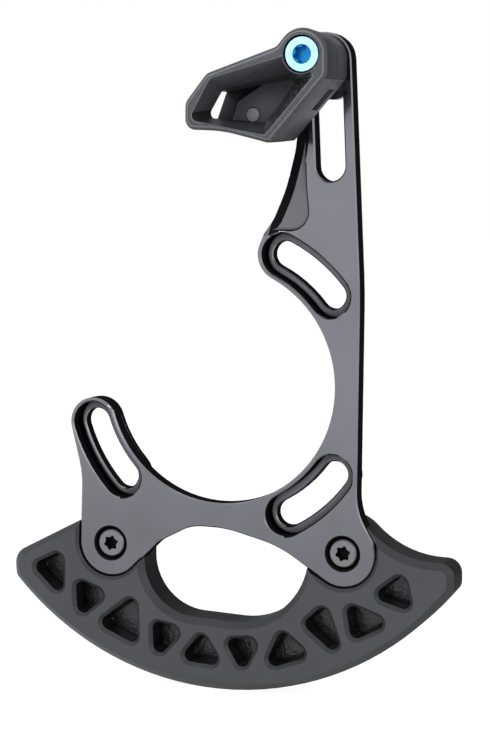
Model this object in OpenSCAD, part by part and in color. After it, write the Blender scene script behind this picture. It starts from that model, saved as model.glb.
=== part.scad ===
// Chainring guard for a bicycle crank: an aluminium back plate with three curved
// mounting slots, a moulded lower bash guard and a two-part upper chain guide.
// Millimetres. The crank axis is the Y axis; Y = 0 is the rear mounting face of
// the plate pads and +Y points to the bicycle frame. Z is up.

/* [Mounting] */
// Diameter of the open bore round the crank axle shell
bore_d = 60.1; // [58.5:0.1:60.3]
// Diameter of the circle the three mounting slots lie on
slot_circle_d = 73; // [72.9:0.1:73.3]
// Width of the through part of a mounting slot (M6 screws)
slot_w = 6.6; // [6.2:0.1:7.2]
// Width of the sunk step round a mounting slot
sink_w = 10.7; // [10.2:0.1:10.9]
// Angle a mounting slot spans between its end centres
slot_sweep = 25.2; // [22:0.2:26]
// Thickness left under the screw heads in the mounting slots
ledge_t = 3.2; // [1.9:0.1:3.6]
// How far the rear pads stand off the plate
pad_t = 1.9; // [1.6:0.1:2.4]

/* [Back plate] */
// Thickness of the plate
plate_t = 4.6; // [4:0.1:5.4]
// Small chamfer on the plate edges
plate_edge = 0.4; // [0.2:0.05:0.5]
// Width of the long slot the chain guide is set in
arm_slot_w = 7.5; // [6.6:0.1:8.2]
// Height above the axis of the lower end centre of the long slot
arm_slot_low = 54.65; // [52:0.25:62]
// Height above the axis of the upper end centre of the long slot
arm_slot_top = 80.5; // [79.5:0.1:81]
// Depth of the shallow step on the arm
relief_t = 1; // [0.5:0.1:1.3]

/* [Bash guard] */
// Outer radius of the bash guard about the crank axis
guard_r = 77.8; // [76.6:0.1:79]
// How far the guard front stands in front of the plate front
guard_proud = 1; // [0.6:0.1:1.6]
// Thickness of the bash guard
guard_t = 10.3; // [9.6:0.1:12]
// Chamfer round the front of the guard
guard_bevel = 1.6; // [0.8:0.1:1.8]
// Depth of the ten blind pockets
pocket_depth = 7.2; // [4:0.1:7.6]
// Chamfer round the pocket mouths
pocket_bevel = 0.9; // [0.5:0.1:1.1]

/* [Guard screws] */
// Radius of the round plate lobes at the guard screws
lobe_r = 8.41; // [8.1:0.05:8.6]
// Diameter of the guard screw heads
head_d = 7; // [6.4:0.1:7.4]
// Height of the guard screw heads
head_h = 2.5; // [2.2:0.1:2.6]
// Nominal thread diameter of the guard screws
screw_d = 4; // [3.6:0.1:4.2]

/* [Chain guide] */
// Depth of the front half of the chain guide
outer_t = 9.6; // [8.6:0.1:11]
// Depth of the rear half of the chain guide
inner_t = 10; // [9.2:0.1:11]
// Radius of the chain guide round its bolt
boss_r = 6.1; // [5.9:0.05:6.3]
// Diameter of the head of the guide bolt
bolt_head_d = 8.4; // [7.8:0.1:8.6]
// Nominal thread diameter of the guide bolt
bolt_d = 5; // [4.4:0.1:5.2]
// Thickness of the flange of the slide nut behind the plate
nut_t = 2.6; // [2:0.1:4]
// Diameter of the small pin through the rear half
pin_d = 2.8; // [2:0.1:3.4]

/* [Fits] */
// Gap kept between separate pieces
gap = 0.3; // [0.25:0.05:0.35]

/* [Hidden] */
$fn = 72;
eps = 0.01;
// Depths: the plate runs from yf (front) to yb (back), the pads end at 0
yb = -pad_t;
yf = -pad_t - plate_t;
bore_r = bore_d / 2;
slot_r = slot_circle_d / 2;
left_mid = 210.5;
upper_mid = 51.4;
lower_mid = -48.6;
ear_r = sink_w / 2 + 0.95;
sink_y = -ledge_t;
lobe_left = [-29.66, -42.34];
lobe_right = [32.66, -40.61];
arm_end = [26.3, 80.0];
arm_lean = 2.9;
slot_low = [28.3, arm_slot_low];
slot_top = [28.3 - (arm_slot_top - 54.65) * tan(arm_lean), arm_slot_top];
bolt = [28.3 - (80.5 - 54.65) * tan(arm_lean), 80.5];
// Guard depths
gf = yf - guard_proud;
gb = gf + guard_t;
pocket_y = gf + pocket_depth;
lobe_sink_y = yf + 0.3 + head_h;
lobe_sink_r = head_d / 2 + 0.7;
insert_r = screw_d / 2 + 1;
flange_r = insert_r + 1.2;
flange_t = 0.8;
// Guide depths: cf is the front face, cs the seam and yf the seat on the plate
cs = yf - inner_t;
cf = cs - outer_t;
panel_y = yf - 3;
bolt_sink = 4.1;
pin_at = [9.4, 66.9];

// Rounded outlines. A corner is [x, z, radius]; the outline runs anticlockwise
// seen from the front, and inset moves the whole outline inward.
function unit(v) = v / norm(v);
function cross2(a, b) = a[0] * b[1] - a[1] * b[0];
function xz(p) = [p[0], p[1]];
function steps(r, turn) = max(1, ceil(turn / (2 * acos(1 - 0.025 / max(r, 0.3)))));
function corner_points(a, b, c, r, inset) =
    let(u = unit(a - b), w = unit(c - b))
    let(half = acos(max(-1, min(1, u * w))) / 2)
    let(left = cross2(b - a, c - b) > 0 ? 1 : -1)
    let(mid = b + unit(u + w) * r / sin(half))
    let(from = b + u * r / tan(half) - mid)
    let(turn = 180 - 2 * half)
    let(start = atan2(from[1], from[0]))
    let(n = steps(r, turn))
    [for (k = [0:n]) mid + (r - left * inset) * [cos(start + left * turn * k / n), sin(start + left * turn * k / n)]];
// Length an arc takes off each side of its corner; arcs that would meet shrink
function reach(a, b, c, r) = r / tan(acos(max(-1, min(1, unit(a - b) * unit(c - b)))) / 2);
function all_points(c, inset) =
    let(n = len(c))
    let(p = [for (q = c) xz(q)])
    let(t = [for (i = [0:n - 1]) reach(p[(i + n - 1) % n], p[i], p[(i + 1) % n], c[i][2])])
    let(room = [for (i = [0:n - 1]) norm(p[(i + 1) % n] - p[i]) / (t[i] + t[(i + 1) % n] + 0.002)])
    [for (i = [0:n - 1]) each corner_points(p[(i + n - 1) % n], p[i], p[(i + 1) % n], c[i][2] * min(1, room[i], room[(i + n - 1) % n]), inset)];
function outline(c, inset) =
    let(p = all_points(c, inset), n = len(p))
    [for (i = [0:n - 1]) if (norm(p[i] - p[(i + n - 1) % n]) > 0.02) p[i]];
// Corners that make a run of tangents to a circle, given the tangent angles
function wrap(m, r, a) =
    [for (i = [0:len(a) - 2]) [m[0] + r / cos((a[i + 1] - a[i]) / 2) * cos((a[i] + a[i + 1]) / 2), m[1] + r / cos((a[i + 1] - a[i]) / 2) * sin((a[i] + a[i + 1]) / 2), r]];
function on_slot(a) = slot_r * [cos(a), sin(a)];

// A solid with that outline; levels are [y, inset] from the front to the back.
module solid(c, levels) {
    loops = [for (l = levels) outline(c, l[1])];
    n = len(loops[0]);
    m = len(levels);
    pts = [for (k = [0:m - 1]) for (p = loops[k]) [p[0], levels[k][0], p[1]]];
    front = [for (i = [0:n - 1]) (n - i) % n];
    back = [for (i = [0:n - 1]) (m - 1) * n + i];
    sides = [for (k = [0:m - 2]) for (i = [0:n - 1]) [k * n + i, k * n + (i + 1) % n, (k + 1) * n + (i + 1) % n, (k + 1) * n + i]];
    polyhedron(points = pts, faces = concat([front, back], sides), convexity = 10);
}
// Round parts along Y
module rod(p, r, y0, y1) {
    translate([p[0], y1, p[1]]) rotate([90, 0, 0]) cylinder(r = r, h = y1 - y0);
}
module taper(p, r0, y0, r1, y1) {
    translate([p[0], y1, p[1]]) rotate([90, 0, 0]) cylinder(r1 = r1, r2 = r0, h = y1 - y0);
}
module slab(y0, y1) {
    translate([0, y1, 0]) rotate([90, 0, 0]) linear_extrude(height = y1 - y0) children();
}
// Outline of a curved slot about the crank axis with half width w
function fan(m, r, from, turn) = [for (k = [0:steps(r, abs(turn))]) m + r * [cos(from + turn * k / steps(r, abs(turn))), sin(from + turn * k / steps(r, abs(turn)))]];
function arc_outline(mid, w) =
    let(lo = mid - slot_sweep / 2, hi = mid + slot_sweep / 2)
    let(out = fan([0, 0], slot_r + w, lo, slot_sweep), in = fan([0, 0], slot_r - w, hi, -slot_sweep))
    let(top = fan(on_slot(hi), w, hi, 180), low = fan(on_slot(lo), w, lo + 180, 180))
    concat(out, [for (k = [1:len(top) - 1]) top[k]], [for (k = [1:len(in) - 1]) in[k]], [for (k = [1:len(low) - 2]) low[k]]);
module arc_slot(mid, w, y0, y1) {
    slab(y0, y1) polygon(arc_outline(mid, w));
}
// A straight slot between two centres with half width w0 at y0 and w1 at y1
function slot_corners(a, b, w) =
    let(t = atan2(b[1] - a[1], b[0] - a[0]))
    concat(wrap(b, w, [t - 90, t, t + 90]), wrap(a, w, [t + 90, t + 180, t + 270]));
module long_slot(a, b, w0, y0, w1, y1) {
    solid(slot_corners(a, b, w1), [[y0, w1 - w0], [y1, 0]]);
}
// Six-lobed socket
module socket(p, r, y0, y1) {
    rod(p, r * 0.8, y0, y1);
    for (k = [0:5]) {
        rod(p + r * 0.76 * [cos(60 * k + 15), sin(60 * k + 15)], r * 0.24, y0, y1);
    }
}

plate_corners = concat(
    wrap(lobe_left, lobe_r, [177.5, 225, 270, 315]),
    [[-16.7, -41.2, 5], [-7.5, -36.35, 12], [1.5, -36.3, 30], [16, -39.9, 30]],
    wrap(lobe_right, lobe_r, [-123, -75, -20, 31.7]),
    [[36.05, -30, 16], [36.2, 24, 150]],
    wrap(arm_end, 6.9, [2.6, 60, 120, 177.7]),
    [[18.45, 59, 24], [15.95, 48.8, 40]],
    wrap(on_slot(upper_mid + 12.6), ear_r, [156.5, 195, 235]),
    [[16.3, 24.8, 0.5], [2, 4, 2], [-26.9, -13.2, 0.5]],
    wrap([-34.5, -11.3], ear_r + 0.1, [20, 75, 130, 193.5]),
    [[-37.75, -24.6, 24]]);

module plate_holes() {
    rod([0, 0], bore_r, yf - 5, 5);
    taper([0, 0], bore_r + plate_edge + 1, yf - 1, bore_r, yf + plate_edge);
    taper([0, 0], bore_r, yb - plate_edge, bore_r + plate_edge, yb + eps);
    for (mid = [left_mid, upper_mid, lower_mid]) {
        arc_slot(mid, slot_w / 2, yf - 1, 1);
        arc_slot(mid, sink_w / 2, yf - 1, sink_y);
    }
    for (p = [lobe_left, lobe_right]) {
        rod(p, screw_d / 2 + 0.2, yf - 1, 1);
        rod(p, lobe_sink_r, yf - 1, lobe_sink_y);
        taper(p, lobe_sink_r + plate_edge + 1, yf - 1, lobe_sink_r, yf + plate_edge);
    }
    long_slot(slot_low, slot_top, arm_slot_w / 2, yf - 1, arm_slot_w / 2, 1);
    long_slot(slot_low, slot_top, arm_slot_w / 2 + plate_edge + 1, yf - 1, arm_slot_w / 2, yf + plate_edge);
}
// Shallow step and slanted flank on the left side of the arm
module plate_relief() {
    slab(yf - 1, yf + relief_t) polygon(outline([[21.3, 72, 0.5], [5, 72, 0.5], [5, 38.9, 0.5], [23.3, 38.9, 4.6], [22.1, 50, 30]], 0));
    solid([[19.25, 74, 0.5], [0, 74, 0.5], [0, 41.6, 0.5], [12.8, 41.6, 0.5], [15.95, 48.8, 40], [18.45, 59, 24]], [[yf - 1, -4.4 - relief_t], [yf + 3.4 + relief_t - 1, 0]]);
}
module backplate() {
    color([0.3, 0.3, 0.32]) difference() {
        union() {
            slab(yf, yb) polygon(outline(plate_corners, 0));
            for (mid = [left_mid, upper_mid, lower_mid]) {
                arc_slot(mid, ear_r - 0.15, yb - 1, 0);
            }
        }
        plate_holes();
        plate_relief();
    }
}

guard_corners = concat(
    [[-57.1, -46.85, 4.5], [-56.7, -52.7, 2.4]],
    wrap([0, 0], guard_r, [-135.5, -110, -75, -40.5]),
    [[60.9, -47.8, 2.4], [60.9, -41.2, 3.6], [46.36, -41.2, 24.2]],
    wrap(lobe_right, 9.2, [45.6, 90, 135, 177]),
    wrap([4.5, -40.5], 19.7, [-3, -48, -92.1]),
    wrap([-6.3, -45.6], 14.2, [-92.1, -135, -180]),
    wrap(lobe_left, 8.9, [-5, 55, 117]));

pocket_corners = [
    [[-53.6, -49.4], [-42.0, -60.3], [-42.0, -43.5]],
    [[-40.5, -50.8], [-39.6, -64.9], [-28.1, -55.2]],
    [[-20.8, -70.0], [-21.4, -52.8], [-35.4, -63.9]],
    [[-7.1, -62.5], [-18.9, -60.3], [-18.2, -74.5]],
    [[-4.1, -61.4], [-12.5, -72.0], [3.5, -72.9]],
    [[13.1, -62.5], [0.1, -63.8], [6.8, -75.3]],
    [[16.5, -59.2], [10.5, -73.2], [26.9, -67.4]],
    [[28.8, -51.6], [20.9, -59.1], [36.3, -71.2]],
    [[48.4, -56.6], [32.3, -51.1], [34.6, -63.7]],
    [[48.9, -42.3], [38.0, -51.1], [52.3, -55.2]]];

// Mouth of the seat a plate lobe lies in: round below and open above
function seat_corners(p, r) = concat(wrap(p, r, [180, 240, 300, 360]), [[p[0] + r, p[1] + 12, 0.5], [p[0] - r, p[1] + 12, 0.5]]);
module pocket(c) {
    rounded = [for (p = c) [p[0], p[1], 2.7]];
    hull() {
        solid(rounded, [[gf - 1, -1], [gf - 0.99, -0.99]]);
        solid(rounded, [[gf + pocket_bevel, pocket_bevel], [gf + pocket_bevel + eps, pocket_bevel]]);
    }
    hull() {
        solid(rounded, [[gf + pocket_bevel, pocket_bevel], [gf + pocket_bevel + eps, pocket_bevel]]);
        solid(rounded, [[pocket_y - 0.5, pocket_bevel + 0.2], [pocket_y, pocket_bevel + 0.7]]);
    }
}
module bash_guard() {
    color([0.16, 0.16, 0.17]) difference() {
        solid(guard_corners, [[gf, guard_bevel], [gf + guard_bevel, 0], [gb - 0.6, 0], [gb, 0.6]]);
        slab(gf - 1, yb) polygon(outline(plate_corners, -gap));
        for (p = [lobe_left, lobe_right]) {
            solid(seat_corners(p, lobe_r + gap), [[gf - 1, -1.8], [gf + 1.1, 0.3]]);
        }
        slab(gf - 1, yb) polygon([[30, -41.6], [41.55, -41.6], [41.55, -38.2], [36.9, -31.4], [36.9, -22], [30, -22]]);
        for (p = [lobe_left, lobe_right]) {
            rod(p, insert_r + gap, yb - 1, gb + 1);
            rod(p, flange_r + gap, gb - flange_t, gb + 1);
        }
        for (c = pocket_corners) {
            pocket(c);
        }
    }
}

module guard_insert(p) {
    color([0.75, 0.6, 0.3]) difference() {
        union() {
            rod(p, insert_r, yb + 0.1, gb - flange_t + eps);
            rod(p, flange_r, gb - flange_t, gb - 0.1);
        }
        rod(p, screw_d / 2 + gap, yb - 1, gb + 1);
    }
}
module guard_insert_left() { guard_insert(lobe_left); }
module guard_insert_right() { guard_insert(lobe_right); }

module guard_screw(p) {
    color([0.2, 0.2, 0.21]) difference() {
        union() {
            rod(p, head_d / 2, lobe_sink_y - head_h + 0.3, lobe_sink_y);
            taper(p, head_d / 2 - 0.3, lobe_sink_y - head_h, head_d / 2, lobe_sink_y - head_h + 0.3);
            rod(p, screw_d / 2, lobe_sink_y - eps, gb - 1);
        }
        socket(p, 1.95, lobe_sink_y - head_h - 1, lobe_sink_y - head_h + 1.9);
    }
}
module guard_screw_left() { guard_screw(lobe_left); }
module guard_screw_right() { guard_screw(lobe_right); }

guide_corners = concat(
    [[33.15, 75.5, 2.6]],
    wrap(bolt, boss_r, [0, 48, 96, 140]),
    [[20.58, 82.28, 2.5], [3.2, 76.25, 3], [-2.2, 69.4, 3], [-2.2, 63.0, 2.6], [7.5, 62.65, 30], [19.3, 59.75, 1.6]]);
window_front = [[18.1, 61.6, 0.9], [30.3, 75.75, 0.9], [22.3, 80.0, 1.2], [4.2, 74.95, 1.6], [-1.3, 64.95, 1.5], [9, 64.5, 8]];
window_seam = [[14.6, 64.2, 1.2], [24.8, 77.2, 1.2], [4.2, 72.9, 1.6], [0.1, 65.9, 1.5]];
window_rear = [[13.4, 64.9, 1.2], [21.5, 75.9, 1.2], [0.8, 72.2, 1.2], [-3.0, 66.3, 1.2]];

// Funnel between two outlines at two depths
module funnel(a, y0, b, y1) {
    hull() {
        solid(a, [[y0, 0], [y0 + eps, 0]]);
        solid(b, [[y1 - eps, 0], [y1, 0]]);
    }
}
module guide_outer() {
    color([0.12, 0.12, 0.13]) difference() {
        union() {
            difference() {
                solid(guide_corners, [[cf, 0.8], [cf + 0.8, 0], [cs, 0.3]]);
                funnel(window_front, cf - eps, window_seam, cs + eps);
            }
            rod(bolt, 4.75, cf + 0.01, cs);
        }
        rod(bolt, bolt_d / 2 + gap, cf - 1, cs + 1);
        rod(bolt, bolt_head_d / 2 + 0.25, cf - 1, cf + bolt_sink);
    }
}
module guide_inner() {
    color([0.12, 0.12, 0.13]) difference() {
        union() {
            difference() {
                solid(guide_corners, [[cs, 0.3], [yf, 0.8]]);
                funnel(window_seam, cs - eps, window_rear, panel_y);
                slab(cs - 1, yf + 1) polygon([[-6, 60], [-2.4, 60], [4.6, 79.5], [-6, 79.5]]);
                slab(panel_y - 5, panel_y) polygon([[23.4, 69.4], [29, 66], [34, 72], [27.5, 73.4]]);
            }
            rod(bolt, 4.75, cs, yf);
        }
        rod(bolt, bolt_d / 2 + gap, cs - 1, yf + 1);
        rod(pin_at, pin_d / 2 + gap, panel_y - 1, panel_y + 2);
    }
}
module guide_pin() {
    color([0.35, 0.35, 0.36]) rod(pin_at, pin_d / 2, panel_y - 0.3, panel_y + 2);
}
module guide_nut() {
    tongue = arm_slot_w / 2 - gap;
    color([0.5, 0.5, 0.52]) difference() {
        union() {
            long_slot(bolt - [-0.22, 4.4], bolt - [0.03, -0.5], arm_slot_w / 2 + 1.6, yb, arm_slot_w / 2 + 1.6, yb + nut_t);
            long_slot(bolt - [-0.22, 4.4], bolt - [0, 0], tongue, yf + 1.2, tongue, yb + eps);
        }
        rod(bolt, bolt_d / 2 + gap, yf - 1, yb + nut_t + 1);
    }
}
module guide_bolt() {
    color([0.1, 0.6, 0.85]) difference() {
        union() {
            rod(bolt, bolt_head_d / 2, cf + 0.9, cf + bolt_sink);
            taper(bolt, bolt_head_d / 2 - 0.5, cf + 0.4, bolt_head_d / 2, cf + 0.9);
            rod(bolt, bolt_d / 2, cf + bolt_sink - eps, yb + nut_t + 0.6);
        }
        socket(bolt, 2.2, cf - 1, cf + 3);
        taper(bolt, 3.3, cf - 0.6, 2.0, cf + 0.7);
    }
}

backplate();
bash_guard();
guard_insert_left();
guard_insert_right();
guard_screw_left();
guard_screw_right();
guide_outer();
guide_inner();
guide_pin();
guide_nut();
guide_bolt();
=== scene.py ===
"""Looks of a bicycle chainring guard: graphite back plate, moulded lower guard and upper chain guide."""

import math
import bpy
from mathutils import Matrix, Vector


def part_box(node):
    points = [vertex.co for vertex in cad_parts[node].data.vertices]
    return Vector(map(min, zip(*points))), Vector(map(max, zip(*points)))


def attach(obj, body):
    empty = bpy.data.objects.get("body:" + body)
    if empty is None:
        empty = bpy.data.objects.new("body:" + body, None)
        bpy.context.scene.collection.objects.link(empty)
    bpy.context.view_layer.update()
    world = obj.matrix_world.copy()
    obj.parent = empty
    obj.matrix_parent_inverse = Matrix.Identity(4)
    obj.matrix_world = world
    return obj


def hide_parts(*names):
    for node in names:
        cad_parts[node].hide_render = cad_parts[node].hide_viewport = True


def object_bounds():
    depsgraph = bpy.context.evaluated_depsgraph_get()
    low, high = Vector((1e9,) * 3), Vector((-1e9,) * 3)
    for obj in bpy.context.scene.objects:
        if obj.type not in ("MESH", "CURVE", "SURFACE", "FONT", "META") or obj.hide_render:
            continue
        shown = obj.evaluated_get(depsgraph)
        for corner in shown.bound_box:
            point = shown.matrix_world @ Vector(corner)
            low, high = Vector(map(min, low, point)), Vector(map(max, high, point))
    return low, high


bl_info = {
    "name": "Chainring guard",
    "version": (1, 0, 0),
    "blender": (4, 5, 0),
    "location": "View3D > Sidebar > Chainring guard",
    "description": "Dresses the packed chainring guard with its finishes, edges and a plain studio",
    "category": "Object",
}

import bmesh
import bpy
from mathutils import Matrix, Vector

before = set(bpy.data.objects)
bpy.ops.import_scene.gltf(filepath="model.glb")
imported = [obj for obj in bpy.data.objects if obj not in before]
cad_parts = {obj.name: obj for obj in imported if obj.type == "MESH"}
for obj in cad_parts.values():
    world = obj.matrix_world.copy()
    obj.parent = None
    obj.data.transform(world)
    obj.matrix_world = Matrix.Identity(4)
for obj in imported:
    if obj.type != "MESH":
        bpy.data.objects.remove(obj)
CAD_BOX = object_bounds()

MM = 0.001
PLATE_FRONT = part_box("backplate")[0].y
GUARD_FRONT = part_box("bash_guard")[0].y
GUIDE_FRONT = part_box("guide_outer")[0].y
GUIDE_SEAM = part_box("guide_outer")[1].y


def middle(name):
    """Centre of a CAD node's box, which is the axis of a round part along Y."""
    low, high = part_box(name)
    return (low + high) / 2


def reach(point, axis):
    """Distance of a point from an axis along Y."""
    return math.hypot(point.x - axis.x, point.z - axis.z)


# Clear of the bolt's seat and of the screws' seats, from their axes
SEAT_REACH = 5.2 * MM
# The curved slots lie on this circle round the crank axis
SLOT_CIRCLE = 36.5 * MM

GUIDE_LOW, GUIDE_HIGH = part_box("guide_outer")
BOLT_AXIS = middle("guide_bolt")
SCREW_AXES = (middle("guard_screw_left"), middle("guard_screw_right"))


# Sizes and colours


class PlateSettings(bpy.types.PropertyGroup):
    face: bpy.props.FloatVectorProperty(
        name="Face", description="Graphite anodised face", subtype="COLOR", size=3,
        default=(0.195, 0.195, 0.222))
    # The side walls are painted near black as shade, where they turn from the light.
    side: bpy.props.FloatVectorProperty(
        name="Sides", description="Darker machined side walls", subtype="COLOR", size=3,
        default=(0.011, 0.011, 0.013))
    # The chamfers are partly worn and partly a painted highlight: drawn a little lighter than the face.
    edge: bpy.props.FloatVectorProperty(
        name="Edges", description="Fine edge chamfers, a little worn", subtype="COLOR", size=3,
        default=(0.21, 0.21, 0.23))
    chamfer: bpy.props.FloatProperty(
        name="Chamfer", description="Width of the fine edge chamfers", subtype="DISTANCE", unit="LENGTH",
        default=0.32 * MM, min=0)


class GuardSettings(bpy.types.PropertyGroup):
    face: bpy.props.FloatVectorProperty(
        name="Face", description="Satin black moulded plastic", subtype="COLOR", size=3,
        default=(0.049, 0.054, 0.062))
    # The pocket walls are painted near black as shade in the hollows.
    pocket: bpy.props.FloatVectorProperty(
        name="Pockets", description="Darker pocket walls and floors", subtype="COLOR", size=3,
        default=(0.008, 0.008, 0.009))
    grain: bpy.props.FloatProperty(
        name="Grain", description="Size of the fine grain of the mould", subtype="DISTANCE", unit="LENGTH",
        default=0.25 * MM, min=0.01 * MM)


class GuideSettings(bpy.types.PropertyGroup):
    face: bpy.props.FloatVectorProperty(
        name="Face", description="Grained black nylon", subtype="COLOR", size=3,
        default=(0.082, 0.086, 0.097))
    # The inside of the window is painted darker as shade.
    inside: bpy.props.FloatVectorProperty(
        name="Inside", description="Darker nylon inside the window", subtype="COLOR", size=3,
        default=(0.042, 0.045, 0.05))
    grain: bpy.props.FloatProperty(
        name="Grain", description="Size of the coarse grain", subtype="DISTANCE", unit="LENGTH",
        default=0.4 * MM, min=0.01 * MM)


class HardwareSettings(bpy.types.PropertyGroup):
    bolt: bpy.props.FloatVectorProperty(
        name="Bolt", description="Blue anodised bolt head", subtype="COLOR", size=3,
        default=(0.5, 0.86, 0.98))
    socket: bpy.props.FloatVectorProperty(
        name="Socket", description="Deep blue of the bolt's socket", subtype="COLOR", size=3,
        default=(0.0, 0.2, 0.5))
    screw: bpy.props.FloatVectorProperty(
        name="Screws", description="Dark steel of the guard screws", subtype="COLOR", size=3,
        default=(0.2, 0.2, 0.215))


class StageSettings(bpy.types.PropertyGroup):
    floor: bpy.props.FloatVectorProperty(
        name="Floor", description="Pale floor", subtype="COLOR", size=3, default=(0.9, 0.9, 0.9))
    key: bpy.props.FloatProperty(
        name="Key light", description="Power of the large soft front light", subtype="POWER", unit="POWER",
        default=5.0, min=0)
    lens: bpy.props.FloatProperty(
        name="Lens", description="Focal length", subtype="DISTANCE_CAMERA", unit="CAMERA",
        default=97.97, min=1)


def settings():
    return bpy.context.scene.chainring_guard


class ChainringGuardSettings(bpy.types.PropertyGroup):
    plate: bpy.props.PointerProperty(type=PlateSettings, name="Plate", description="Back plate")
    guard: bpy.props.PointerProperty(type=GuardSettings, name="Guard", description="Lower bash guard")
    guide: bpy.props.PointerProperty(type=GuideSettings, name="Guide", description="Upper chain guide")
    hardware: bpy.props.PointerProperty(type=HardwareSettings, name="Hardware", description="Bolt and screws")
    stage: bpy.props.PointerProperty(type=StageSettings, name="Stage", description="Floor, lights and camera")


# Shader helpers


def node(tree, kind, **values):
    made = tree.nodes.new(kind)
    for key, value in values.items():
        if key.startswith("in_"):
            made.inputs[key[3:].replace("_", " ")].default_value = value
        else:
            setattr(made, key, value)
    return made


def group(name, inputs, outputs):
    """An empty shader node group with its sockets: (name, kind, default)."""
    tree = bpy.data.node_groups.new(name, "ShaderNodeTree")
    for label, kind, value in inputs:
        socket = tree.interface.new_socket(name=label, in_out="INPUT", socket_type=kind)
        if value is not None:
            socket.default_value = value
    for label, kind in outputs:
        tree.interface.new_socket(name=label, in_out="OUTPUT", socket_type=kind)
    return tree, tree.nodes.new("NodeGroupInput"), tree.nodes.new("NodeGroupOutput")


def fine_grain_group():
    """Grain of a surface: a fine height, and slow patches of handling."""
    name = "fine_grain"
    if name in bpy.data.node_groups:
        return bpy.data.node_groups[name]
    tree, source, sink = group(
        name,
        [
            ("Vector", "NodeSocketVector", None), ("Grain scale", "NodeSocketFloat", 4000.0),
            ("Patch scale", "NodeSocketFloat", 60.0)],
        [("Height", "NodeSocketFloat"), ("Patches", "NodeSocketFloat"), ("Specks", "NodeSocketFloat")])
    fine = node(tree, "ShaderNodeTexNoise", in_Detail=2.0, in_Roughness=0.6)
    slow = node(tree, "ShaderNodeTexNoise", in_Detail=3.0, in_Roughness=0.55)
    specks = node(tree, "ShaderNodeMapRange", in_From_Min=0.56, in_From_Max=0.7)
    patches = node(tree, "ShaderNodeMapRange", in_From_Min=0.3, in_From_Max=0.7)
    for texture, scale in ((fine, "Grain scale"), (slow, "Patch scale")):
        tree.links.new(source.outputs["Vector"], texture.inputs["Vector"])
        tree.links.new(source.outputs[scale], texture.inputs["Scale"])
    tree.links.new(fine.outputs["Fac"], specks.inputs["Value"])
    tree.links.new(slow.outputs["Fac"], patches.inputs["Value"])
    tree.links.new(fine.outputs["Fac"], sink.inputs["Height"])
    tree.links.new(patches.outputs["Result"], sink.inputs["Patches"])
    tree.links.new(specks.outputs["Result"], sink.inputs["Specks"])
    return tree


def shaded_tone_group():
    """A colour that drifts with the patches and lightens on the specks of the grain."""
    name = "shaded_tone"
    if name in bpy.data.node_groups:
        return bpy.data.node_groups[name]
    tree, source, sink = group(
        name,
        [("Dark", "NodeSocketColor", (0.1, 0.1, 0.1, 1)), ("Light", "NodeSocketColor", (0.2, 0.2, 0.2, 1)),
         ("Speck", "NodeSocketColor", (0.3, 0.3, 0.3, 1)), ("Patches", "NodeSocketFloat", 0.5),
         ("Specks", "NodeSocketFloat", 0.0), ("Speck amount", "NodeSocketFloat", 0.2)],
        [("Color", "NodeSocketColor")])
    drift = node(tree, "ShaderNodeMix", data_type="RGBA")
    speckle = node(tree, "ShaderNodeMix", data_type="RGBA")
    amount = node(tree, "ShaderNodeMath", operation="MULTIPLY")
    tree.links.new(source.outputs["Patches"], drift.inputs["Factor"])
    tree.links.new(source.outputs["Dark"], drift.inputs[6])
    tree.links.new(source.outputs["Light"], drift.inputs[7])
    tree.links.new(source.outputs["Specks"], amount.inputs[0])
    tree.links.new(source.outputs["Speck amount"], amount.inputs[1])
    tree.links.new(amount.outputs[0], speckle.inputs["Factor"])
    tree.links.new(drift.outputs[2], speckle.inputs[6])
    tree.links.new(source.outputs["Speck"], speckle.inputs[7])
    tree.links.new(speckle.outputs[2], sink.inputs["Color"])
    return tree


def light_scratches_group():
    """A few fine straight scratches, as a mask."""
    name = "light_scratches"
    if name in bpy.data.node_groups:
        return bpy.data.node_groups[name]
    tree, source, sink = group(
        name, [
            ("Vector", "NodeSocketVector", None), ("Turn", "NodeSocketVector", (0, 0, 0)),
            ("Stretch", "NodeSocketVector", (6000, 6000, 90))],
        [("Mask", "NodeSocketFloat")])
    place = node(tree, "ShaderNodeMapping")
    streak = node(tree, "ShaderNodeTexNoise", in_Scale=1.0, in_Detail=2.0)
    keep = node(tree, "ShaderNodeMapRange", in_From_Min=0.68, in_From_Max=0.78)
    tree.links.new(source.outputs["Vector"], place.inputs["Vector"])
    tree.links.new(source.outputs["Turn"], place.inputs["Rotation"])
    tree.links.new(source.outputs["Stretch"], place.inputs["Scale"])
    tree.links.new(place.outputs["Vector"], streak.inputs["Vector"])
    tree.links.new(streak.outputs["Fac"], keep.inputs["Value"])
    tree.links.new(keep.outputs["Result"], sink.inputs["Mask"])
    return tree


def shade(colour, factor):
    return tuple(min(1.0, c * factor) for c in colour) + (1.0,)


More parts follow.
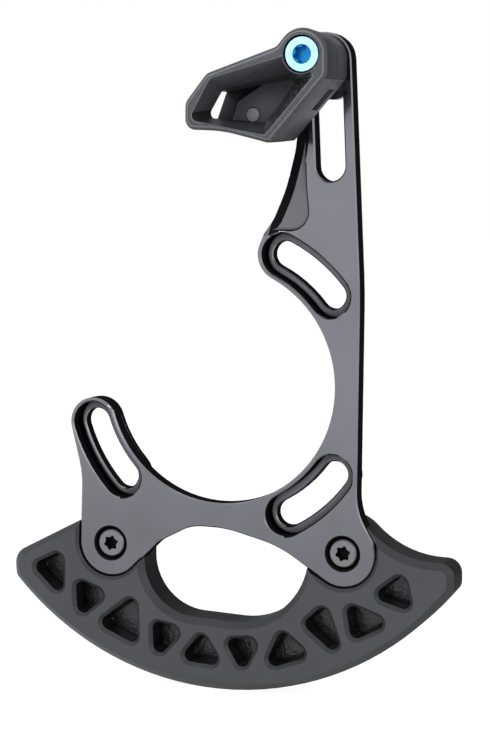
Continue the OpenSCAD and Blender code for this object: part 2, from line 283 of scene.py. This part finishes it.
def finish_material(name, colour, metallic, rough, grain, bump, spread=0.08, speck=0.2, speck_gain=1.6,
                    patch=60.0, rough_spread=0.06, specular=0.5, scratches=0.0):
    """A surface with grain, slow tone and roughness drift and, where asked, fine scratches.

    grain is the size of the grain and bump its depth, both in metres."""
    material = bpy.data.materials.new(name)
    material.use_nodes = True
    tree = material.node_tree
    tree.nodes.clear()
    out = node(tree, "ShaderNodeOutputMaterial")
    shader = node(tree, "ShaderNodeBsdfPrincipled", in_Metallic=metallic)
    shader.inputs["Specular IOR Level"].default_value = specular
    place = node(tree, "ShaderNodeTexCoord")
    texture = node(tree, "ShaderNodeGroup", node_tree=fine_grain_group())
    texture.inputs["Grain scale"].default_value = 1.0 / grain
    texture.inputs["Patch scale"].default_value = patch
    tone = node(tree, "ShaderNodeGroup", node_tree=shaded_tone_group())
    tone.inputs["Dark"].default_value = shade(colour, 1 - spread)
    tone.inputs["Light"].default_value = shade(colour, 1 + spread)
    tone.inputs["Speck"].default_value = shade(colour, speck_gain)
    tone.inputs["Speck amount"].default_value = speck
    sheen = node(tree, "ShaderNodeMapRange", in_To_Min=rough - rough_spread, in_To_Max=rough + rough_spread)
    relief = node(tree, "ShaderNodeBump", in_Strength=1.0, in_Distance=bump)
    links = tree.links
    links.new(place.outputs["Object"], texture.inputs["Vector"])
    links.new(texture.outputs["Patches"], tone.inputs["Patches"])
    links.new(texture.outputs["Specks"], tone.inputs["Specks"])
    links.new(texture.outputs["Patches"], sheen.inputs["Value"])
    links.new(sheen.outputs["Result"], shader.inputs["Roughness"])
    links.new(texture.outputs["Height"], relief.inputs["Height"])
    links.new(relief.outputs["Normal"], shader.inputs["Normal"])
    links.new(shader.outputs["BSDF"], out.inputs["Surface"])
    if scratches:
        marks = node(tree, "ShaderNodeGroup", node_tree=light_scratches_group())
        marks.inputs["Turn"].default_value = (0.0, 0.35, 0.0)
        amount = node(tree, "ShaderNodeMath", operation="MULTIPLY")
        amount.inputs[1].default_value = scratches
        mix = node(tree, "ShaderNodeMix", data_type="RGBA")
        mix.inputs[7].default_value = shade(colour, 2.0)
        links.new(place.outputs["Object"], marks.inputs["Vector"])
        links.new(marks.outputs["Mask"], amount.inputs[0])
        links.new(amount.outputs[0], mix.inputs["Factor"])
        links.new(tone.outputs["Color"], mix.inputs[6])
        links.new(mix.outputs[2], shader.inputs["Base Color"])
    else:
        links.new(tone.outputs["Color"], shader.inputs["Base Color"])
    return material


def find_node(material, kind):
    """The first node of a kind in a finish."""
    return next(n for n in material.node_tree.nodes if n.type == kind)


def scale_colour(material, factor):
    """Multiply the colour of a finish by a value that varies over the surface."""
    links = material.node_tree.links
    shader = find_node(material, "BSDF_PRINCIPLED")
    product = node(material.node_tree, "ShaderNodeVectorMath", operation="SCALE")
    links.new(shader.inputs["Base Color"].links[0].from_socket, product.inputs[0])
    links.new(factor, product.inputs["Scale"])
    links.new(product.outputs[0], shader.inputs["Base Color"])


def paint_light_falloff_by_height(material, low, high, dark, light):
    """Paint light falling off with height: the finish is drawn lighter from the height low to the height
    high, as painted light from the key light above.
    """
    tree = material.node_tree
    parts = node(tree, "ShaderNodeSeparateXYZ")
    gain = node(
        tree, "ShaderNodeMapRange", in_From_Min=low, in_From_Max=high, in_To_Min=dark, in_To_Max=light)
    tree.links.new(find_node(material, "TEX_COORD").outputs["Object"], parts.inputs[0])
    tree.links.new(parts.outputs["Z"], gain.inputs["Value"])
    scale_colour(material, gain.outputs["Result"])


def paint_contact_shade(material, distance, dark):
    """Paint shade into a finish where something closes it off within a distance: ambient occlusion darkens
    the colour, as painted contact shade.
    """
    tree = material.node_tree
    near = node(tree, "ShaderNodeAmbientOcclusion", samples=8, in_Distance=distance)
    gain = node(
        tree, "ShaderNodeMapRange", in_From_Min=0.45, in_From_Max=0.85, in_To_Min=dark, in_To_Max=1.0)
    tree.links.new(near.outputs["AO"], gain.inputs["Value"])
    scale_colour(material, gain.outputs["Result"])


def turned_material(name, colour, metallic, rough, centre, pitch):
    """Metal with fine turning rings about an axis along Y through centre."""
    material = finish_material(name, colour, metallic, rough, 0.08 * MM, 0.002 * MM, spread=0.05, speck=0.08)
    tree = material.node_tree
    relief = find_node(material, "BUMP")
    place = find_node(material, "TEX_COORD")
    grain = next(n for n in tree.nodes if n.type == "GROUP" and n.node_tree == fine_grain_group())
    axis = node(tree, "ShaderNodeMapping", in_Location=(-centre.x, -centre.y, -centre.z))
    rings = node(
        tree, "ShaderNodeTexWave", wave_type="RINGS", rings_direction="Y", in_Scale=0.05 / pitch,
        in_Distortion=0.4)
    mix = node(tree, "ShaderNodeMath", operation="MULTIPLY_ADD")
    mix.inputs[1].default_value = 0.5
    links = tree.links
    links.new(place.outputs["Object"], axis.inputs["Vector"])
    links.new(axis.outputs["Vector"], rings.inputs["Vector"])
    links.new(rings.outputs["Fac"], mix.inputs[0])
    links.new(grain.outputs["Height"], mix.inputs[2])
    links.new(mix.outputs[0], relief.inputs["Height"])
    relief.inputs["Distance"].default_value = 0.004 * MM
    return material


# Mesh helpers


def only(piece):
    """Select this object alone and make it the active one."""
    bpy.ops.object.select_all(action="DESELECT")
    piece.select_set(True)
    bpy.context.view_layer.objects.active = piece


def copy_of(name, piece_name, whole=True):
    """A merged copy of a CAD node's surface as a new piece; whole joins its flat faces."""
    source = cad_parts[name]
    piece = bpy.data.objects.new(piece_name, source.data.copy())
    piece.data.name = piece_name
    piece.data.materials.clear()
    bpy.context.scene.collection.objects.link(piece)
    only(piece)
    bpy.ops.object.mode_set(mode="EDIT")
    bpy.ops.mesh.select_all(action="SELECT")
    bpy.ops.mesh.remove_doubles(threshold=0.02 * MM)
    bpy.ops.mesh.customdata_custom_splitnormals_clear()
    if whole:
        bpy.ops.mesh.dissolve_limited(angle_limit=math.radians(0.6))
    bpy.ops.mesh.select_all(action="DESELECT")
    bpy.ops.object.mode_set(mode="OBJECT")
    return piece


def select_edges(piece, wanted):
    """Select the sharp edges for which wanted(middle, normal a, normal b) holds; returns their number."""
    bpy.ops.object.mode_set(mode="EDIT")
    bpy.ops.mesh.select_mode(type="EDGE")
    bpy.ops.mesh.select_all(action="DESELECT")
    mesh = bmesh.from_edit_mesh(piece.data)
    count = 0
    for edge in mesh.edges:
        if len(edge.link_faces) != 2:
            continue
        first, second = (f.normal for f in edge.link_faces)
        point = (edge.verts[0].co + edge.verts[1].co) / 2
        if edge.calc_face_angle(0) > math.radians(35) and edge.is_convex and wanted(point, first, second):
            edge.select = True
            count += 1
    mesh.select_flush_mode()
    bmesh.update_edit_mesh(piece.data)
    return count


def bevel_selected(width, slot, segments=1):
    bpy.ops.mesh.bevel(
        offset=width, offset_type="OFFSET", segments=segments, profile=0.5, material=slot,
        clamp_overlap=False)
    bpy.ops.mesh.select_all(action="DESELECT")
    bpy.ops.object.mode_set(mode="OBJECT")


def paint_faces(piece, slot, wanted):
    """Put the faces for which wanted(centre, normal) holds in a material slot."""
    for face in piece.data.polygons:
        if wanted(face.center, face.normal):
            face.material_index = slot


def dress(piece, materials):
    for material in materials:
        piece.data.materials.append(material)


def settle(piece, body, slot, *nodes, angle=38):
    """Smooth the curved walls, and tell the frame where the piece belongs."""
    only(piece)
    bpy.ops.object.shade_smooth_by_angle(angle=math.radians(angle))
    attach(piece, body)
    if nodes:
        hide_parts(*nodes)
    bpy.ops.object.select_all(action="DESELECT")


# Pieces


class DressPlate(bpy.types.Operator):
    """Back plate: graphite face, side walls painted dark as shade, and fine edge chamfers"""

    bl_idname = "chainring.plate"
    bl_label = "Back plate"

    FACE, SIDE, EDGE, STEP = range(4)

    def execute(self, context):
        look = settings().plate
        face = finish_material(
            "graphite_face", look.face, 1.0, 0.13, 0.09 * MM, 0.0008 * MM, spread=0.05, speck=0.1,
            rough_spread=0.02, scratches=0.12)
        # Painted light: the face is drawn darker towards the bottom and lighter towards the top.
        paint_light_falloff_by_height(face, -60 * MM, 70 * MM, 0.72, 1.3)
        # Painted shade: the face is drawn darker near the guide and in the hollows of the slots.
        paint_contact_shade(face, 16 * MM, 0.14)
        side = finish_material(
            "painted_shade_side", look.side, 0.0, 0.5, 0.12 * MM, 0.001 * MM, spread=0.15, speck=0.1, specular=0.0)
        edge = finish_material("worn_edge_and_highlight", look.edge, 0.85, 0.3, 0.2 * MM, 0.004 * MM, spread=0.2)
        piece = copy_of("backplate", "plate_body", whole=False)
        # Painted shade: the step's floor is a darker copy of the face.
        step = finish_material(
            "shaded_step", tuple(c * 0.88 for c in look.face), 1.0, 0.12, 0.12 * MM, 0.0008 * MM, spread=0.15)
        paint_contact_shade(step, 16 * MM, 0.14)
        dress(piece, (face, side, edge, step))
        # Painted shade: the walls are drawn near black.
        paint_faces(piece, self.SIDE, lambda centre, normal: abs(normal.y) < 0.3)

        def rim(point, first, second):
            return min(first.y, second.y) < -0.9 and max(first.y, second.y) > -0.3

        if not select_edges(piece, rim):
            raise RuntimeError("no rim edges found on the back plate")
        bevel_selected(look.chamfer, self.EDGE)
        # Partly wear, partly painted highlight on the chamfers.
        paint_faces(piece, self.EDGE, self.sloping)
        # Painted shade: the slanted flank of the arm is drawn near black.
        paint_faces(piece, self.SIDE, self.flank)
        # Painted shade: the chamfers round the arm's step are drawn dark as a shadow line.
        paint_faces(
            piece, self.SIDE, lambda centre, normal: self.sloping(centre, normal) and self.on_arm(centre))
        paint_faces(piece, self.SIDE, self.shaded_rim)
        paint_faces(piece, self.STEP, self.arm_step)
        settle(piece, "plate", "plate", "backplate")
        return {"FINISHED"}

    @staticmethod
    def sloping(centre, normal):
        """The fine chamfers, which lean between the front and the walls."""
        return 0.3 < -normal.y < 0.9

    @staticmethod
    def on_arm(centre):
        """The region of the shallow step on the left of the arm, above the upper slot."""
        return centre.z > 38.5 * MM and 5 * MM < centre.x < 23.5 * MM and centre.y < PLATE_FRONT + 1.5 * MM

    @staticmethod
    def arm_step(centre, normal):
        """The floor of that step."""
        return normal.y < -0.95 and centre.y > PLATE_FRONT + 0.3 * MM and DressPlate.on_arm(centre)

    @staticmethod
    def shaded_rim(centre, normal):
        """Seats of the screws, and the rims of the curved slots that turn away from the light: both painted
        dark as shade.
        """
        in_seat = min(reach(centre, axis) for axis in SCREW_AXES) < SEAT_REACH
        if in_seat and centre.y > PLATE_FRONT + 0.05 * MM:
            return True
        if not DressPlate.sloping(centre, normal):
            return False
        radius = math.hypot(centre.x, centre.z)
        outward = (normal.x * centre.x + normal.z * centre.z) / radius
        on_rim = 31.5 * MM < radius < 42 * MM and outward * (radius - SLOT_CIRCLE) < -0.15 * MM
        return on_rim and normal.x < 0.1

    @staticmethod
    def flank(centre, normal):
        """The slanted left flank of the arm, painted near black as shade."""
        return centre.z > 37.6 * MM and centre.x < 21 * MM and normal.x < -0.05 and -0.985 < normal.y < -0.05


class DressGuard(bpy.types.Operator):
    """Lower bash guard: satin face, pockets, sides and chamfers painted darker as shade, and slightly rounded
    chamfer edges
    """

    bl_idname = "chainring.guard"
    bl_label = "Bash guard"

    FACE, POCKET, FLOOR, SIDE, SLOPE = range(5)

    def execute(self, context):
        look = settings().guard
        face = finish_material(
            "guard_satin", look.face, 0.0, 0.42, look.grain, 0.012 * MM, spread=0.1, speck=0.25,
            specular=0.45)
        pocket = finish_material(
            "guard_pocket", look.pocket, 0.0, 0.25, 0.9 * MM, 0.12 * MM, spread=0.35, speck=0.3, patch=260.0,
            rough_spread=0.1, specular=0.1)
        piece = copy_of("bash_guard", "guard_body")
        floor = finish_material(
            "guard_pocket_floor", look.face, 0.0, 0.22, 1.1 * MM, 0.16 * MM, spread=0.4, speck=0.5,
            patch=300.0, rough_spread=0.1)
        # Painted shade: the sides and chamfers are darker copies of the face, as they turn from the light.
        side = finish_material(
            "guard_side", tuple(c * 0.16 for c in look.face), 0.0, 0.5, look.grain, 0.012 * MM, spread=0.1,
            specular=0.02)
        slope = finish_material(
            "guard_chamfer", tuple(c * 0.7 for c in look.face), 0.0, 0.4, look.grain, 0.012 * MM, spread=0.1,
            specular=0.3)
        # Painted shade in the pockets and near the plate.
        for finish in (face, floor, slope):
            paint_contact_shade(finish, 5 * MM, 0.3)
        dress(piece, (face, pocket, floor, side, slope))
        # Painted shade on the sides and chamfers.
        paint_faces(piece, self.SIDE, lambda c, n: -0.35 < n.y < 0.12)
        paint_faces(piece, self.SLOPE, lambda c, n: 0.35 < -n.y < 0.95)
        # Painted shade: the pocket walls are drawn near black.
        paint_faces(
            piece, self.POCKET, lambda c, n: self.deeper(c, 1) and -0.9 < n.y < 0.5 and inside_pocket(c))
        paint_faces(piece, self.FLOOR, lambda c, n: self.deeper(c, 3) and n.y < -0.3 and inside_pocket(c))
        settle(piece, "plate", "guard", "bash_guard", angle=25)
        return {"FINISHED"}

    @staticmethod
    def deeper(centre, depth):
        """True where a point lies more than a depth in mm behind the guard's face."""
        return centre.y > GUARD_FRONT + depth * MM


# Corners (x, z) of the ten pockets, in mm
POCKETS = (
    ((-53.6, -49.4), (-42.0, -60.3), (-42.0, -43.5)), ((-40.5, -50.8), (-39.6, -64.9), (-28.1, -55.2)),
    ((-20.8, -70.0), (-21.4, -52.8), (-35.4, -63.9)), ((-7.1, -62.5), (-18.9, -60.3), (-18.2, -74.5)),
    ((-4.1, -61.4), (-12.5, -72.0), (3.5, -72.9)), ((13.1, -62.5), (0.1, -63.8), (6.8, -75.3)),
    ((16.5, -59.2), (10.5, -73.2), (26.9, -67.4)), ((28.8, -51.6), (20.9, -59.1), (36.3, -71.2)),
    ((48.4, -56.6), (32.3, -51.1), (34.6, -63.7)), ((48.9, -42.3), (38.0, -51.1), (52.3, -55.2)))


def inside_pocket(point):
    """True where a point lies inside one of the ten pocket triangles."""
    x, z = point.x / MM, point.z / MM
    for corners in POCKETS:
        signs = []
        for k in range(3):
            (ax, az), (bx, bz) = corners[k], corners[(k + 1) % 3]
            signs.append((bx - ax) * (z - az) - (bz - az) * (x - ax))
        if all(s > -0.5 for s in signs) or all(s < 0.5 for s in signs):
            return True
    return False


class DressGuide(bpy.types.Operator):
    """Upper chain guide: both grained halves and the pin"""

    bl_idname = "chainring.guide"
    bl_label = "Chain guide"

    FACE, INSIDE, PANEL, SIDE, ROUGH, CREASE, EDGE = range(7)
    # The panel's bent crease: its corner, both ends, the step across it and the slope beyond
    CREASE_CORNER = Vector((5.4 * MM, 0, 70.2 * MM))
    CREASE_ENDS = (Vector((3.9 * MM, 0, 65.6 * MM)), Vector((13.8 * MM, 0, 75.5 * MM)))
    CREASE_STEP = 0.35 * MM
    CREASE_SLOPE = 0.16
    # The pin's face is drawn this much wider, so that it fills its hole
    PIN_GROWTH = 1.19

    def execute(self, context):
        look = settings().guide
        face = finish_material(
            "nylon_grained", look.face, 0.0, 0.5, look.grain, 0.05 * MM, spread=0.15, speck=0.5,
            speck_gain=2.4, specular=0.15)
        # Painted shade: the inside and the side walls are darker copies of the nylon.
        inside = finish_material(
            "nylon_inside", look.inside, 0.0, 0.5, look.grain, 0.05 * MM, spread=0.2, speck=0.3,
            speck_gain=2.0, specular=0.08)
        panel = finish_material(
            "nylon_panel", (0.2, 0.209, 0.24), 0.0, 0.45, look.grain, 0.04 * MM, spread=0.12, speck=0.4,
            speck_gain=1.8, specular=0.25)
        side = finish_material(
            "nylon_side", (0.042, 0.045, 0.052), 0.0, 0.5, look.grain, 0.05 * MM, spread=0.15, speck=0.5,
            speck_gain=2.6, specular=0.03)
        rough_wall = finish_material(
            "nylon_rough_wall", (0.02, 0.021, 0.024), 0.0, 0.35, 0.8 * MM, 0.2 * MM, spread=0.3, speck=1.0,
            speck_gain=11.0, specular=0.3)
        # Near black: painted shade on the crease's steep strip, and the dark joint of the seam between the
        # halves.
        shade_line = finish_material(
            "nylon_crease_shade_and_seam", (0.006, 0.006, 0.007), 0.0, 0.6, look.grain, 0.02 * MM, specular=0.02)
        # Painted highlight: the front rims of the rails are drawn lighter than the nylon.
        rail_edge_highlight = finish_material(
            "nylon_edge_highlight", (0.17, 0.175, 0.19), 0.0, 0.4, look.grain, 0.02 * MM, spread=0.2, specular=0.3)
        # Painted shade inside the window and along the walls.
        for finish in (inside, panel, side):
            paint_contact_shade(finish, 7 * MM, 0.35)
        for name, piece_name in (("guide_outer", "guide_front_half"), ("guide_inner", "guide_rear_half")):
            piece = copy_of(name, piece_name)
            dress(piece, (face, inside, panel, side, rough_wall, shade_line, rail_edge_highlight))
            if name == "guide_inner":
                self.crease(piece)
            rail = GUIDE_FRONT + 0.3 * MM
            select_edges(piece, lambda p, a, b: p.y > rail)
            bevel_selected(0.12 * MM, -1)
            if name == "guide_outer":
                # The front rims get the lighter painted highlight.
                select_edges(piece, lambda p, a, b: p.y < rail and reach(p, BOLT_AXIS) > SEAT_REACH)
                bevel_selected(0.2 * MM, self.EDGE)
            behind = GUIDE_SEAM + 3 * MM
            deep = GUIDE_SEAM + 6 * MM
            # Painted shade on the side walls and inside the window.
            paint_faces(piece, self.SIDE, lambda c, n: abs(n.y) < 0.3)
            paint_faces(piece, self.INSIDE, self.within)
            paint_faces(piece, self.FACE, lambda c, n: self.within(c, n) and n.z < -0.4)
            paint_faces(piece, self.PANEL, lambda c, n: n.y < -0.995 and c.y > behind)
            # Painted shade: the panel's leaning band left of the crease is drawn darker.
            paint_faces(piece, self.INSIDE, lambda c, n: -0.995 < n.y < -0.85 and c.y > deep)
            # Painted shade: the crease's steep strip is drawn near black.
            paint_faces(piece, self.CREASE, lambda c, n: -0.85 < n.y < -0.3 and c.y > deep)
            paint_faces(piece, self.ROUGH, lambda c, n: self.within(c, n) and n.x < -0.4 and c.x > 8 * MM)
            paint_faces(
                piece, self.CREASE, lambda c, n: abs(c.y - GUIDE_SEAM) < 0.28 * MM and abs(n.y) > 0.02)
            settle(piece, "guide", "guide", name)
        pin = copy_of("guide_pin", "guide_pin_end")
        dress(pin, (finish_material("pin_end", (0.4, 0.41, 0.45), 0.0, 0.4, 0.2 * MM, 0.01 * MM),))
        centre = middle("guide_pin")
        for vert in pin.data.vertices:
            vert.co.x = centre.x + (vert.co.x - centre.x) * self.PIN_GROWTH
            vert.co.z = centre.z + (vert.co.z - centre.z) * self.PIN_GROWTH
        select_edges(pin, lambda p, a, b: min(a.y, b.y) < -0.9)
        bevel_selected(0.1 * MM, -1, segments=2)
        settle(pin, "guide", "pin", "guide_pin")
        return {"FINISHED"}

    def crease(self, piece):
        """Shape the panel: left of a bent crease it steps down and leans away to the chain exit."""
        corner, step = self.CREASE_CORNER, self.CREASE_STEP
        outward = []
        for end in self.CREASE_ENDS:
            along = (end - corner).normalized()
            normal = Vector((-along.z, 0, along.x))
            outward.append(-normal if normal.x > 0 else normal)
        only(piece)
        bpy.ops.object.mode_set(mode="EDIT")
        bpy.ops.mesh.select_mode(type="FACE")
        ahead = GUIDE_SEAM + 8 * MM
        depth = max(f.center.y for f in piece.data.polygons if f.normal.y < -0.99 and f.center.y < ahead)
        for shift in (0.0, step):
            for normal in outward:
                mesh = bmesh.from_edit_mesh(piece.data)
                for face in mesh.faces:
                    level = abs(face.calc_center_median().y - depth) < 0.05 * MM
                    face.select = face.normal.y < -0.99 and level
                mesh.select_flush_mode()
                bmesh.update_edit_mesh(piece.data)
                bpy.ops.mesh.bisect(plane_co=corner + normal * shift, plane_no=normal)
                bpy.ops.mesh.select_all(action="DESELECT")
        mesh = bmesh.from_edit_mesh(piece.data)
        for vert in mesh.verts:
            if abs(vert.co.y - depth) > 0.05 * MM:
                continue
            away = max((vert.co - corner).dot(normal) for normal in outward)
            if away > 0.5 * step:
                vert.co.y += step + self.CREASE_SLOPE * (away - step)
        bmesh.update_edit_mesh(piece.data)
        bpy.ops.object.mode_set(mode="OBJECT")

    @staticmethod
    def within(centre, normal):
        """Walls and panel inside the window."""
        low, high = GUIDE_LOW, GUIDE_HIGH
        edge = 1.2 * MM
        across = low.x + edge < centre.x < high.x - edge and low.z + edge < centre.z < high.z - edge
        clear = reach(centre, BOLT_AXIS) > SEAT_REACH
        return across and clear and centre.y > GUIDE_FRONT + edge and normal.y < 0.5


class DressHardware(bpy.types.Operator):
    """Blue guide bolt, slide nut, guard screws and threaded inserts"""

    bl_idname = "chainring.hardware"
    bl_label = "Bolt, nut and screws"

    METAL, SOCKET = range(2)
    # The bolt's face is drawn this much wider, so that it fills its seat
    HEAD_GROWTH = 0.3 * MM

    def execute(self, context):
        look = settings().hardware
        bright = turned_material("bolt_blue", look.bolt, 0.9, 0.22, BOLT_AXIS, 0.12 * MM)
        deep = finish_material("bolt_socket", look.socket, 0.6, 0.35, 0.1 * MM, 0.004 * MM)
        piece = copy_of("guide_bolt", "guide_bolt_blue", whole=False)
        dress(piece, (bright, deep))
        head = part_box("guide_bolt")[0].y
        for vert in piece.data.vertices:
            out = Vector((vert.co.x - BOLT_AXIS.x, 0, vert.co.z - BOLT_AXIS.z))
            if abs(vert.co.y - head) < 0.02 * MM and out.length > 3.4 * MM:
                vert.co += out.normalized() * self.HEAD_GROWTH
        paint_faces(piece, self.SOCKET, self.socket(BOLT_AXIS, 2.45 * MM, head + 0.02 * MM, head + 4 * MM))
        settle(piece, "guide", "bolt", "guide_bolt")
        for side in ("left", "right"):
            name = "guard_screw_" + side
            axis = middle(name)
            metal = turned_material("screw_steel_" + side, look.screw, 0.8, 0.36, axis, 0.15 * MM)
            # Painted shade: the screws' sockets are drawn near black.
            dark = finish_material(
                "screw_socket_" + side, (0.004, 0.004, 0.0045), 0.0, 0.5, 0.1 * MM, 0.004 * MM, specular=0.05)
            piece = copy_of(name, name + "_steel")
            dress(piece, (metal, dark))
            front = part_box(name)[0].y
            paint_faces(piece, self.SOCKET, self.socket(axis, 2.1 * MM, front + 0.1 * MM, front + 2.2 * MM))
            settle(piece, "plate", "screw", name)
        brass = finish_material("insert_brass", (0.62, 0.42, 0.16), 0.95, 0.35, 0.1 * MM, 0.004 * MM)
        anodised = finish_material("nut_anodised", (0.12, 0.12, 0.13), 0.8, 0.35, 0.1 * MM, 0.004 * MM)
        metals = {"guard_insert_left": brass, "guard_insert_right": brass, "guide_nut": anodised}
        for name, metal in metals.items():
            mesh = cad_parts[name].data
            mesh.materials.clear()
            mesh.materials.append(metal)
        return {"FINISHED"}

    @staticmethod
    def socket(axis, radius, front, back):
        """A test for the faces of a socket round an axis, between two depths."""
        return lambda centre, normal: reach(centre, axis) < radius and front < centre.y < back


class SetStage(bpy.types.Operator):
    """Plain pale floor, white background, soft lights and the photograph's camera"""

    bl_idname = "chainring.stage"
    bl_label = "Stage"

    # The camera as it was solved from the photograph: place in metres, yaw, pitch and roll in degrees
    CAMERA_PLACE = (0.17298, -0.46954, 0.05396)
    CAMERA_TURN = (-19.75, -5.661, 0.464)

    def execute(self, context):
        look = settings().stage
        scene = context.scene
        scene.view_settings.view_transform = "Standard"
        self.floor(look)
        self.world(scene)
        self.lamp("key", (-0.25, -0.75, 0.55), (0.0, 0.0, 0.0), 0.7, look.key)
        self.lamp("fill", (0.6, -0.5, 0.2), (0.0, 0.0, 0.0), 0.5, look.key * 0.25)
        self.camera(scene, look)
        return {"FINISHED"}

    def floor(self, look):
        bpy.ops.object.select_all(action="DESELECT")
        low = CAD_BOX[0][2]
        bpy.ops.mesh.primitive_grid_add(
            x_subdivisions=4, y_subdivisions=4, size=6.0, location=(0, 0, low - 0.05 * MM))
        floor = bpy.context.object
        floor.name = "floor"
        bpy.ops.object.transform_apply(location=True, rotation=True, scale=True)
        material = bpy.data.materials.new("pale_floor")
        material.use_nodes = True
        tree = material.node_tree
        tree.nodes.clear()
        out = node(tree, "ShaderNodeOutputMaterial")
        plain = node(tree, "ShaderNodeBsdfDiffuse", in_Color=tuple(look.floor) + (1.0,))
        paper = node(tree, "ShaderNodeEmission", in_Strength=0.93)
        both = node(tree, "ShaderNodeAddShader")
        mix = node(tree, "ShaderNodeMixShader")
        seen = self.seen(tree)
        lit = node(tree, "ShaderNodeBsdfDiffuse", in_Color=(0.28, 0.28, 0.28, 1.0))
        links = tree.links
        links.new(paper.outputs[0], both.inputs[0])
        links.new(lit.outputs[0], both.inputs[1])
        links.new(seen, mix.inputs[0])
        links.new(plain.outputs[0], mix.inputs[1])
        links.new(both.outputs[0], mix.inputs[2])
        links.new(mix.outputs[0], out.inputs["Surface"])
        floor.data.materials.append(material)

    def seen(self, tree):
        """1 where a ray from the camera, a reflection or glass meets the stage."""
        path = node(tree, "ShaderNodeLightPath")
        first = node(tree, "ShaderNodeMath", operation="MAXIMUM")
        second = node(tree, "ShaderNodeMath", operation="MAXIMUM")
        tree.links.new(path.outputs["Is Camera Ray"], first.inputs[0])
        tree.links.new(path.outputs["Is Glossy Ray"], first.inputs[1])
        tree.links.new(first.outputs[0], second.inputs[0])
        tree.links.new(path.outputs["Is Transmission Ray"], second.inputs[1])
        return second.outputs[0]

    def world(self, scene):
        world = bpy.data.worlds.new("studio")
        scene.world = world
        world.use_nodes = True
        tree = world.node_tree
        tree.nodes.clear()
        out = node(tree, "ShaderNodeOutputWorld")
        white = node(tree, "ShaderNodeBackground", in_Color=(1, 1, 1, 1), in_Strength=1.0)
        soft = node(tree, "ShaderNodeBackground", in_Color=(1, 1, 1, 1), in_Strength=0.35)
        mix = node(tree, "ShaderNodeMixShader")
        tree.links.new(self.seen(tree), mix.inputs[0])
        tree.links.new(soft.outputs[0], mix.inputs[1])
        tree.links.new(white.outputs[0], mix.inputs[2])
        tree.links.new(mix.outputs[0], out.inputs["Surface"])

    def lamp(self, name, place, aim, size, power):
        bpy.ops.object.light_add(type="AREA", location=place)
        lamp = bpy.context.object
        lamp.name = name
        lamp.data.name = name
        lamp.data.shape = "DISK"
        lamp.data.size = size
        lamp.data.energy = power
        lamp.rotation_euler = (Vector(aim) - Vector(place)).to_track_quat("-Z", "Y").to_euler()

    def camera(self, scene, look):
        yaw, pitch, roll = (math.radians(a) for a in self.CAMERA_TURN)
        forward = Vector((math.sin(yaw) * math.cos(pitch), math.cos(yaw) * math.cos(pitch), math.sin(pitch)))
        level = forward.cross(Vector((0, 0, 1))).normalized()
        upright = level.cross(forward)
        right = math.cos(roll) * level + math.sin(roll) * upright
        up = -math.sin(roll) * level + math.cos(roll) * upright
        turn = Matrix((right, up, -forward)).transposed().to_4x4()
        data = bpy.data.cameras.new("camera")
        camera = bpy.data.objects.new("camera", data)
        scene.collection.objects.link(camera)
        camera.matrix_world = Matrix.Translation(self.CAMERA_PLACE) @ turn
        data.sensor_fit = "VERTICAL"
        data.sensor_height = 36.0
        data.sensor_width = 36.0
        data.lens = look.lens
        data.clip_start = 0.01
        data.dof.use_dof = False
        scene.camera = camera


OPERATORS = (DressPlate, DressGuard, DressGuide, DressHardware, SetStage)


class ChainringGuardPanel(bpy.types.Panel):
    """Buttons for each piece, in the order they are made"""

    bl_idname = "VIEW3D_PT_chainring_guard"
    bl_label = "Chainring guard"
    bl_space_type = "VIEW_3D"
    bl_region_type = "UI"
    bl_category = "Chainring guard"

    def draw(self, context):
        look = settings()
        for part in (look.plate, look.guard, look.guide, look.hardware, look.stage):
            box = self.layout.box()
            for name in part.__annotations__:
                box.prop(part, name)
        for operator in OPERATORS:
            self.layout.operator(operator.bl_idname)


CLASSES = (
    PlateSettings, GuardSettings, GuideSettings, HardwareSettings, StageSettings, ChainringGuardSettings,
    *OPERATORS, ChainringGuardPanel)


def register():
    for cls in CLASSES:
        bpy.utils.register_class(cls)
    bpy.types.Scene.chainring_guard = bpy.props.PointerProperty(
        type=ChainringGuardSettings, name="Chainring guard",
        description="Sizes and colours of the chainring guard")


def unregister():
    del bpy.types.Scene.chainring_guard
    for cls in reversed(CLASSES):
        bpy.utils.unregister_class(cls)


def main():
    register()
    bpy.ops.chainring.plate()
    bpy.ops.chainring.guard()
    bpy.ops.chainring.guide()
    bpy.ops.chainring.hardware()
    bpy.ops.chainring.stage()


if __name__ == "__main__":
    main()
